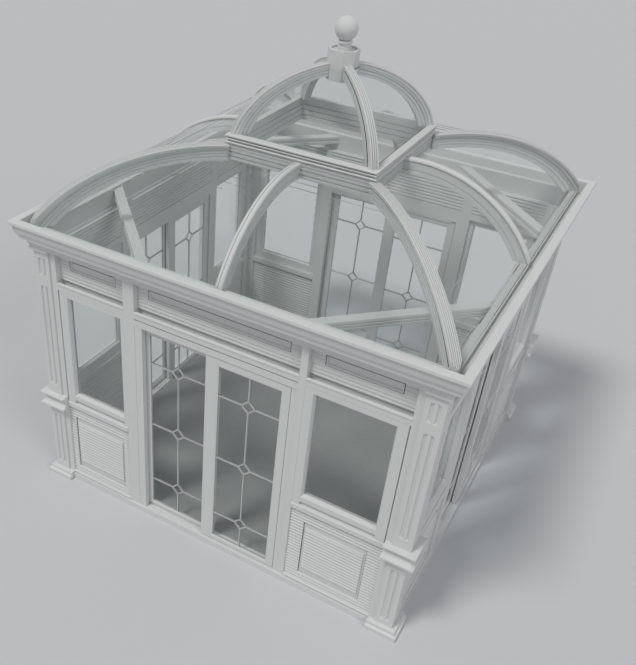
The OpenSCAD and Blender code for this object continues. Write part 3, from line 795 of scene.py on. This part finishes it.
def column_piece(bm, z0, z1, low, high, flute):
    """Both outer faces of the column at all four corners."""
    for wall in WALLS:
        column_front(bm, z0, z1, low, high, flute, COLUMN_HALF, wall_turn(wall))
        column_front(bm, z0, z1, low, high, flute, WALL_HALF, wall_turn(wall) @ ACROSS)


def standing_piece(name, bm, nodes, angle=32.0):
    """White piece of the standing house, smooth over gentle angles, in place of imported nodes."""
    piece = mesh_piece(name, bm, "root", "White powder coat")
    for face in piece.data.polygons:
        face.use_smooth = True
    piece.data.set_sharp_from_angle(angle=math.radians(angle))
    if nodes:
        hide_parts(*nodes)
    return piece


class CONS_OT_finishes(bpy.types.Operator):
    """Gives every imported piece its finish"""

    bl_idname = "cons.finishes"
    bl_label = "Apply Finishes"

    def execute(self, context):
        for name, node in frame["nodes"].items():
            if name in GLASS_NODES or name.endswith("_pane"):
                dress(node, "Clear glass")
            elif name == "floor_slab":
                dress(node, "Grey floor screed")
            else:
                dress(node, "White powder coat")
        return {"FINISHED"}


class CONS_OT_dados(bpy.types.Operator):
    """Makes the reeded and fielded dado panels and their base rails"""

    bl_idname = "cons.dados"
    bl_label = "Make Dado Panels"

    def execute(self, context):
        dado = context.scene.cons_dado
        panels, rails = bmesh.new(), bmesh.new()
        groove, nose = 0.008, 0.010
        rail = [(0.0, SILL_TOP), (WALL_T, SILL_TOP), (WALL_T, BASE_TOP), (0.004, BASE_TOP), (0.004, BASE_TOP - groove)]
        rail += [(-depth, z) for depth, z in reversed(half_round(0.0, SILL_TOP + groove, BASE_TOP - groove, nose))]
        rail += [(0.008, SILL_TOP + groove), (0.008, SILL_TOP)]
        for wall in WALLS:
            for inner, outer, stile in BAYS:
                fielded_panel(panels, inner, outer, dado, wall_turn(wall))
                wall_bar(rails, inner, outer, rail[1:], wall_turn(wall))
        standing_piece("dado_boards", panels, ["dado_panels"])
        standing_piece("base_mouldings", rails, ["base_rails"])
        return {"FINISHED"}


class CONS_OT_windows(bpy.types.Operator):
    """Makes the window frames with the slope under their bottom rails, and the beads round the glass"""

    bl_idname = "cons.windows"
    bl_label = "Make Windows"

    def execute(self, context):
        window = context.scene.cons_window
        frames, beads = bmesh.new(), bmesh.new()
        near, far = WINDOW_SET, WINDOW_SET + WINDOW_T
        low, high, gap = WINDOW_LOW, WINDOW_TOP, window.gap
        for wall in WALLS:
            turn = wall_turn(wall)
            for inner, outer, stile in BAYS:
                side = 1 if outer > inner else -1
                x0, x1 = inner + side * stile, outer - side * CORNER_STILE
                shade = outer - side * window.groove
                wall_block(frames, inner, x0, near, far, low, high, turn)
                wall_block(frames, x1, shade, near, far, low, high, turn)
                wall_block(frames, shade, outer, near + 0.022, far, low, high, turn)
                wall_block(frames, x0, x1, near, far, low + gap, GLASS_LOW, turn)
                wall_bar(frames, x0, x1, [(near + 0.004, low + gap), (near + window.gap_depth, low), (far, low),
                                          (far, low + gap)], turn)
                wall_block(frames, x0, x1, near, far, GLASS_TOP, high, turn)
                for glass, face in ((GLASS_SET, near), (GLASS_SET + GLASS_T, far)):
                    flat, slope = face - WALL_HALF, glass - WALL_HALF
                    inset = (slope - flat) * 0.45
                    bead = [(-0.003, flat + inset * 0.02), (0.003, flat + inset * 0.04), (0.006, flat + inset * 0.25),
                            (window.bead * 0.8, flat + inset * 1.5), (window.bead, slope - inset * 0.3),
                            (window.bead, slope), (-0.003, slope)]
                    left, right = sorted((x0, x1))
                    pane_bead(beads, left, right, GLASS_LOW, GLASS_TOP, bead, turn)
        standing_piece("window_casings", frames, ["window_frames"])
        standing_piece("window_beads", beads, [])
        return {"FINISHED"}


class CONS_OT_friezes(bpy.types.Operator):
    """Makes the slotted friezes and the ledge below them"""

    bl_idname = "cons.friezes"
    bl_label = "Make Friezes"

    def execute(self, context):
        frieze = context.scene.cons_frieze
        boards, heads, lintels = bmesh.new(), bmesh.new(), bmesh.new()
        head_low, leaf_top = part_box("door_heads")[0][2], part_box("front_outer_leaf")[1][2]
        top, nose, channel = FRIEZE_LOW, 0.006, FRIEZE_LOW - 0.050
        ledge = [(FRIEZE_SET + 0.020, top), (FRIEZE_SET + 0.020, channel), (0.026, channel), (0.024, top - 0.003),
                 (0.021, top), (0.003, top), (-nose, top - 0.003), (-nose, top - 0.013), (0.0, top - 0.016)]
        track = [(0.0, leaf_top + 0.080), (0.030, leaf_top + 0.079), (0.030, leaf_top + 0.067),
                 (0.0, leaf_top + 0.066)]
        for wall in WALLS:
            turn = wall_turn(wall)
            slotted_frieze(boards, *DOOR_BAY, frieze, turn)
            wall_bar(heads, *DOOR_BAY, ledge + track + [(0.0, head_low), (WALL_T, head_low), (WALL_T, top)], turn)
            for inner, outer, stile in BAYS:
                slotted_frieze(boards, inner, outer, frieze, turn)
                wall_bar(lintels, inner, outer, ledge + [(0.0, WINDOW_TOP), (WALL_T, WINDOW_TOP), (WALL_T, top)], turn)
        standing_piece("frieze_boards", boards, ["frieze_panels"])
        standing_piece("door_transoms", heads, ["door_heads"])
        standing_piece("window_lintels", lintels, ["window_heads"])
        return {"FINISHED"}


class CONS_OT_columns(bpy.types.Operator):
    """Makes the fluted corner columns and bracket blocks"""

    bl_idname = "cons.columns"
    bl_label = "Make Columns"

    def execute(self, context):
        flute = context.scene.cons_flute
        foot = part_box("corner_plinths")[1][2]
        capital_low, capital_top = (corner[2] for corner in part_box("column_capitals"))
        block_low, block_top = (corner[2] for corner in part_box("bracket_blocks"))
        shafts, blocks = bmesh.new(), bmesh.new()
        column_piece(shafts, foot, capital_low, foot + 0.060, capital_low - 0.129, flute)
        column_piece(shafts, capital_top, block_low, capital_top + 0.098, block_low - 0.053, flute)
        strip = block_top - 0.025
        column_piece(blocks, block_low, strip, block_low + 0.042, strip - 0.070, flute)
        proud = 0.026
        near = WALL_HALF - COLUMN_HALF - proud
        for wall in WALLS:
            for turn, end in ((wall_turn(wall), COLUMN_HALF + proud), (wall_turn(wall) @ ACROSS, WALL_HALF)):
                wall_block(blocks, COLUMN_IN - 0.012, end, near, 0.0, strip, block_top, turn, 0.004)
        standing_piece("fluted_columns", shafts, ["column_shafts"])
        standing_piece("fluted_brackets", blocks, ["bracket_blocks"])
        return {"FINISHED"}


class CONS_OT_roof(bpy.types.Operator):
    """Makes the fluted hips, the capped rafters, the ties and the kerb"""

    bl_idname = "cons.roof"
    bl_label = "Make Roof Bars"

    def execute(self, context):
        roof = context.scene.cons_roof
        top, glass, soffit = SLOPE_R, SLOPE_R - 0.030, SLOPE_R - 0.145
        angles = arc_angles(SLOPE_CENTRE, SLOPE_R, SLOPE_HEAD, SLOPE_FOOT, roof.steps)
        web, cap, cut = 0.028, 0.044, roof.flute
        hip = [(web, soffit)]
        for start in (0.026, 0.052, 0.078):
            hip += [(web, soffit + start), (web - cut, soffit + start + 0.002), (web - cut, soffit + start + 0.010),
                    (web, soffit + start + 0.012)]
        hip += [(web, glass + 0.005), (cap, glass + 0.005), (cap, glass + 0.009), (cap - 0.006, glass + 0.010),
                (cap - 0.006, glass + 0.014), (cap, glass + 0.015), (cap, top - 0.006), (cap - 0.004, top)]
        for start in (0.035, 0.019):
            hip += [(start, top), (start - 0.001, top - cut), (start - 0.008, top - cut), (start - 0.009, top)]
        hip += [(0.003, top), (0.002, top - cut)]
        hip_bar = swept_bar(mirrored(hip), angles, SLOPE_CENTRE, True)
        cut_off(hip_bar, (0, 0, KERB_TOP), (0, 0, -1))
        cut_off(hip_bar, (KERB_OUT, 0, 0), (1, 0, 0))
        cut_off(hip_bar, (0, -KERB_OUT, 0), (0, -1, 0))
        cut_off(hip_bar, (RING_SEAT - 0.004, -RING_SEAT + 0.004, 0), (-1, 1, 0))
        hips = bmesh.new()
        on_four_sides(hips, hip_bar)
        web, neck, cap = 0.025, 0.008, 0.033
        middle = [(web, soffit), (web, soffit + 0.03), (web - cut, soffit + 0.033), (web - cut, soffit + 0.040),
                  (web, soffit + 0.043), (web, glass - 0.0112), (neck, glass - 0.0112), (neck, glass + 0.0012),
                  (cap, glass + 0.0012), (cap, glass + 0.008)]
        crown = top - glass - 0.008
        middle += [(0.004 + (cap - 0.004) * math.cos(a), glass + 0.008 + crown * math.sin(a))
                   for a in (math.radians(15 * i) for i in range(7))]
        middle += [(0.003, top - cut)]
        middle_bar = swept_bar(mirrored(middle), angles, SLOPE_CENTRE, False)
        cut_off(middle_bar, (0, 0, KERB_TOP), (0, 0, -1))
        cut_off(middle_bar, (0, -KERB_OUT, 0), (0, -1, 0))
        cut_off(middle_bar, (0, -RING_SEAT, 0), (0, 1, 0))
        middles = bmesh.new()
        on_four_sides(middles, middle_bar)
        ties, kerbs = bmesh.new(), bmesh.new()
        on_four_sides(ties, self.tie(roof))
        outline = [(KERB_IN, KERB_LOW), (KERB_OUT, KERB_LOW), (KERB_OUT, KERB_LOW + 0.010)]
        for start in (0.010, 0.024):
            outline += [(KERB_OUT - 0.005, KERB_LOW + start + 0.001), (KERB_OUT - 0.005, KERB_LOW + start + 0.005),
                        (KERB_OUT, KERB_LOW + start + 0.006)]
            outline += [(KERB_OUT, KERB_LOW + start + 0.013)]
        outline += [(KERB_OUT - 0.003, KERB_TOP), (KERB_IN, KERB_TOP)]
        square_ring(kerbs, outline)
        standing_piece("hip_bars", hips, ["hip_rafters"])
        standing_piece("middle_bars", middles, ["middle_rafters"])
        standing_piece("ridged_ties", ties, ["corner_ties"])
        standing_piece("kerb_strips", kerbs, ["roof_kerb"])
        return {"FINISHED"}

    def tie(self, roof):
        """Level bar across a corner, ridged along its top and sides."""
        low, high = (corner[2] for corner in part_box("corner_ties"))
        out, half, ridges = roof.tie_place / ROOT2, roof.tie_width / 2, 5
        pitch = 2 * half / ridges
        section = [(half - 0.004, low), (half, low + 0.004)]
        for start in (0.018, 0.044):
            section += [(half, low + start), (half - 0.005, low + start + 0.003), (half - 0.005, low + start + 0.009),
                        (half, low + start + 0.012)]
        section += [(half, high - 0.004)]
        for number in range(ridges):
            right = half - number * pitch
            section += [(right - 0.002, high), (right - pitch + 0.006, high), (right - pitch + 0.004, high - 0.006),
                        (right - pitch, high - 0.006)]
        section = [(max(u, -half), z) for u, z in section] + [(-half, low + 0.056), (-half + 0.005, low + 0.050)]
        section += [(-half + 0.005, low + 0.030), (-half, low + 0.027), (-half, low + 0.004), (-half + 0.004, low)]
        bm = bmesh.new()
        rows = []
        for along in (-KERB_IN, KERB_IN):
            rows.append([bm.verts.new(Vector(((out + u + along) / ROOT2, (along - out - u) / ROOT2, z)))
                         for u, z in section])
        skin(bm, rows)
        bmesh.ops.recalc_face_normals(bm, faces=bm.faces)
        cut_off(bm, (KERB_IN, 0, 0), (1, 0, 0))
        cut_off(bm, (0, -KERB_IN, 0), (0, -1, 0))
        return bm


class CONS_OT_crown(bpy.types.Operator):
    """Makes the cornice, the lantern ring and the lantern ribs"""

    bl_idname = "cons.crown"
    bl_label = "Make Cornice and Lantern"

    def execute(self, context):
        out, top, bed_z = CORNICE_OUT, CORNICE_TOP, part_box("cornice")[0][2]
        bed = out - 0.075
        crown = [(out - 0.054 + 0.030 * math.sin(a), top - 0.132 + 0.090 * (1 - math.cos(a)))
                 for a in (math.radians(9 * i) for i in range(11))]
        lip = [(out - 0.007 + 0.007 * math.cos(a), top - 0.007 + 0.007 * math.sin(a))
               for a in (math.radians(18 * i) for i in range(6))]
        cornice = bmesh.new()
        square_ring(cornice, [(bed, bed_z), (out - 0.059, bed_z)] + crown
                    + [(out - 0.016, top - 0.042), (out - 0.016, top - 0.037), (out - 0.003, top - 0.034),
                       (out, top - 0.030)] + lip + [(bed + 0.005, top), (bed, top - 0.005)])
        ring = bmesh.new()
        half, low, high = RING_HALF, RING_LOW, RING_TOP
        outline = [(half - 0.070, low), (RING_SEAT, low)]
        for start in (0.022, 0.060, 0.098):
            outline += [(RING_SEAT, low + start), (RING_SEAT - 0.010, low + start + 0.002),
                        (RING_SEAT - 0.010, low + start + 0.009), (RING_SEAT, low + start + 0.011)]
        outline += [(RING_SEAT, low + 0.140)]
        outline += half_round(half - 0.016, low + 0.142, low + 0.160, 0.010)
        outline += [(half - 0.028, low + 0.161), (half - 0.028, low + 0.174)]
        outline += half_round(half - 0.014, low + 0.175, low + 0.189, 0.009)
        outline += [(half - 0.026, low + 0.190), (half - 0.026, low + 0.196)]
        outline += half_round(half - 0.011, low + 0.197, high, 0.011, 8)
        outline += [(half - 0.070, high)]
        for start in (0.150, 0.100, 0.050):
            outline += [(half - 0.070, low + start + 0.005), (half - 0.062, low + start + 0.003),
                        (half - 0.062, low + start - 0.003), (half - 0.070, low + start - 0.005)]
        square_ring(ring, outline)
        ribs = bmesh.new()
        reach, deep, cut = 0.033, 0.105, 0.010
        rib = [(reach, DOME_R - deep)]
        for start in (0.086, 0.064, 0.042, 0.020):
            rib += [(reach, DOME_R - start), (reach - 0.007, DOME_R - start + 0.001),
                    (reach - 0.007, DOME_R - start + 0.007), (reach, DOME_R - start + 0.008)]
        rib += [(reach, DOME_R - 0.004), (reach - 0.003, DOME_R), (0.022, DOME_R), (0.020, DOME_R - cut),
                (0.014, DOME_R - cut), (0.012, DOME_R), (0.004, DOME_R), (0.003, DOME_R - cut)]
        angles = arc_angles(DOME_CENTRE, DOME_R, DOME_HEAD, DOME_FOOT, 40)
        bar = swept_bar(mirrored(rib), angles, DOME_CENTRE, True)
        cut_off(bar, (0, 0, RING_TOP - 0.002), (0, 0, -1))
        cut_off(bar, (HUB_HALF / ROOT2 - 0.003, -HUB_HALF / ROOT2 + 0.003, 0), (-1, 1, 0))
        on_four_sides(ribs, bar)
        collar = bmesh.new()
        neck_low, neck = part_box("finial_hub")[1][2] - 0.026, 0.049
        flange = half_round(neck, neck_low, neck_low + 0.024, 0.014)
        rows = []
        for turn in (Matrix.Rotation(math.radians(7.5 * i), 4, "Z") for i in range(48)):
            rows.append([collar.verts.new(turn @ Vector((out, 0.0, z))) for out, z in flange])
        skin(collar, rows, closed=True)
        standing_piece("neck_collar", collar, [])
        standing_piece("cornice_moulding", cornice, ["cornice"])
        standing_piece("ring_moulding", ring, ["lantern_ring"])
        standing_piece("grooved_ribs", ribs, ["lantern_ribs"])
        return {"FINISHED"}


class CONS_OT_leading(bpy.types.Operator):
    """Adds the leading with open diamonds to both faces of every door pane"""

    bl_idname = "cons.leading"
    bl_label = "Add Leading"

    def execute(self, context):
        glass = context.scene.cons_glass
        for wall in WALLS:
            for leaf in LEAVES:
                low, high = pane_in_front(wall, leaf)
                bm = bmesh.new()
                for start, end in leading_lines(low, high, glass):
                    for face_y, outward in ((low.y, -1), (high.y, 1)):
                        strip(bm, start, end, glass.came_width, glass.came_rise, face_y, outward, wall_turn(wall))
                mesh_piece(f"{wall}_{leaf}_leading", bm, f"{wall}_{leaf}", "Pale leading")
                beads = bmesh.new()
                for face_y, outward in ((low.y, -1), (high.y, 1)):
                    bead = [(-0.002, face_y + outward * 0.0097), (0.002, face_y + outward * 0.0097),
                            (0.011, face_y + outward * 0.005), (0.013, face_y + outward * 0.003),
                            (0.013, face_y), (-0.002, face_y)]
                    pane_bead(beads, low.x, high.x, low.z, high.z, bead, wall_turn(wall))
                mesh_piece(f"{wall}_{leaf}_beads", beads, f"{wall}_{leaf}", "White powder coat")
        return {"FINISHED"}


def world_finish(context):
    """Even light from all sides, with the pale backdrop where it shows or mirrors."""
    studio = context.scene.cons_studio
    world = bpy.data.worlds.new("Studio")
    context.scene.world = world
    world.use_nodes = True
    tree = world.node_tree
    light = tree.nodes["Background"]
    light.inputs["Color"].default_value = (0.96, 0.98, 1.0, 1.0)
    light.inputs["Strength"].default_value = 0.34
    seen = add_node(tree, "ShaderNodeBackground", strength=1.0)
    seen.inputs["Color"].default_value = (*studio.backdrop, 1.0)
    path = add_node(tree, "ShaderNodeLightPath")
    first = add_node(tree, "ShaderNodeMath", operation="MAXIMUM")
    shown = add_node(tree, "ShaderNodeMath", operation="MAXIMUM")
    tree.links.new(path.outputs["Is Camera Ray"], first.inputs[0])
    tree.links.new(path.outputs["Is Glossy Ray"], first.inputs[1])
    tree.links.new(first.outputs[0], shown.inputs[0])
    tree.links.new(path.outputs["Is Transmission Ray"], shown.inputs[1])
    mix = add_node(tree, "ShaderNodeMixShader")
    tree.links.new(shown.outputs[0], mix.inputs[0])
    tree.links.new(light.outputs[0], mix.inputs[1])
    tree.links.new(seen.outputs[0], mix.inputs[2])
    tree.links.new(mix.outputs[0], tree.nodes["World Output"].inputs["Surface"])


def studio_ground(context):
    """Wide pale floor that keeps the shadow."""
    studio = context.scene.cons_studio
    bpy.ops.mesh.primitive_grid_add(x_subdivisions=8, y_subdivisions=8, size=60.0, location=(0.0, 0.0, -0.001))
    ground = context.object
    ground.name = "studio_ground"
    material, tree, shader = new_material("Studio ground")
    shader.inputs["Base Color"].default_value = (*studio.backdrop, 1.0)
    shader.inputs["Roughness"].default_value = 0.9
    shader.inputs["Specular IOR Level"].default_value = 0.1
    ground.data.materials.append(material)


def lamp(context, name, direction, energy, angle, colour):
    """Soft sun lamp that shines along a direction."""
    data = bpy.data.lights.new(name, "SUN")
    data.energy = energy
    data.angle = math.radians(angle)
    data.color = colour
    lamp_object = bpy.data.objects.new(name, data)
    lamp_object.rotation_mode = "QUATERNION"
    lamp_object.rotation_quaternion = Vector(direction).to_track_quat("-Z", "Y")
    lamp_object.visible_glossy = False
    lamp_object.visible_transmission = False
    context.scene.collection.objects.link(lamp_object)


def studio_camera(context):
    studio = context.scene.cons_studio
    data = bpy.data.cameras.new("Photo view")
    data.sensor_width = 36.0
    data.lens = studio.lens
    data.shift_x, data.shift_y = studio.shift
    data.clip_end = 200.0
    camera = bpy.data.objects.new("Photo view", data)
    camera.location = studio.eye
    camera.rotation_euler = studio.turn
    context.scene.collection.objects.link(camera)
    context.scene.camera = camera


class CONS_OT_stage(bpy.types.Operator):
    """Sets the camera, lamps, floor and backdrop"""

    bl_idname = "cons.stage"
    bl_label = "Set Stage"

    def execute(self, context):
        context.scene.view_settings.view_transform = "Standard"
        world_finish(context)
        studio_ground(context)
        lamp(context, "Key lamp", (0.30, 0.62, -1.15), 1.38, 14.0, (1.0, 0.99, 0.975))
        lamp(context, "Side lamp", (-0.9, 0.35, -0.7), 0.50, 24.0, (0.97, 0.985, 1.0))
        studio_camera(context)
        return {"FINISHED"}


class CONS_PT_panel(bpy.types.Panel):
    """Lists the conservatory's steps in the sidebar"""

    bl_idname = "CONS_PT_panel"
    bl_label = "Conservatory"
    bl_space_type = "VIEW_3D"
    bl_region_type = "UI"
    bl_category = "Conservatory"

    def draw(self, context):
        for operator in OPERATORS:
            self.layout.operator(operator.bl_idname)
        for group in settings():
            for name in group.bl_rna.properties.keys():
                if name not in ("rna_type", "name"):
                    self.layout.prop(group, name)


OPERATORS = (
    CONS_OT_finishes,
    CONS_OT_dados,
    CONS_OT_windows,
    CONS_OT_friezes,
    CONS_OT_columns,
    CONS_OT_roof,
    CONS_OT_crown,
    CONS_OT_leading,
    CONS_OT_stage,
)
GROUPS = (
    (CoatSettings, "cons_coat"),
    (GlassSettings, "cons_glass"),
    (DadoSettings, "cons_dado"),
    (WindowSettings, "cons_window"),
    (FriezeSettings, "cons_frieze"),
    (FluteSettings, "cons_flute"),
    (RoofSettings, "cons_roof"),
    (FloorSettings, "cons_floor"),
    (StudioSettings, "cons_studio"),
)


def register():
    for group, name in GROUPS:
        bpy.utils.register_class(group)
        setattr(bpy.types.Scene, name, bpy.props.PointerProperty(type=group))
    for cls in (*OPERATORS, CONS_PT_panel):
        bpy.utils.register_class(cls)


def unregister():
    for cls in reversed((*OPERATORS, CONS_PT_panel)):
        bpy.utils.unregister_class(cls)
    for group, name in reversed(GROUPS):
        delattr(bpy.types.Scene, name)
        bpy.utils.unregister_class(group)


def main():
    register()
    bpy.ops.cons.finishes()
    bpy.ops.cons.dados()
    bpy.ops.cons.windows()
    bpy.ops.cons.friezes()
    bpy.ops.cons.columns()
    bpy.ops.cons.roof()
    bpy.ops.cons.crown()
    bpy.ops.cons.leading()
    bpy.ops.cons.stage()


if __name__ == "__main__":
    main()
